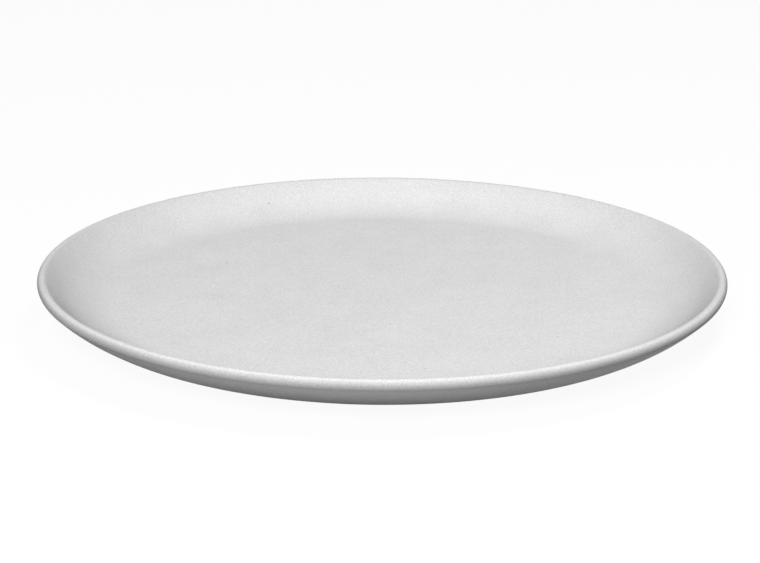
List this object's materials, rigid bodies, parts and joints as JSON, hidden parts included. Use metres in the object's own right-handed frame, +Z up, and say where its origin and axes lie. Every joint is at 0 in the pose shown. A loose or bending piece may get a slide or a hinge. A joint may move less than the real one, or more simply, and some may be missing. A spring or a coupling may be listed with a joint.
{
  "type": "coupe dinner plate",
  "caption": "Rimless round dinner plate in speckled matt-glazed stoneware: a flat well curves up through a low wall to a rounded lip, and a bare foot ring stands on the table.",
  "frame": {"origin": "the plate's axis at the plane of the foot ring's standing face", "axes": "+Z up along the axis of the plate, out of the well; the plate is a solid of revolution, so +X and +Y are any two level directions at right angles"},
  "size_m": [0.27, 0.27, 0.0215],
  "materials": {
    "stoneware": "bare fired clay, matt and slightly sandy, seen only on the foot ring",
    "matt_glaze": "eggshell-matt light grey glaze with a fine sandy mottle and a few small dark specks"
  },
  "bodies": {
    "root": {"stoneware_body": "stoneware", "glaze_coat": "matt_glaze", "base_glaze": "matt_glaze"}
  },
  "joints": []
}
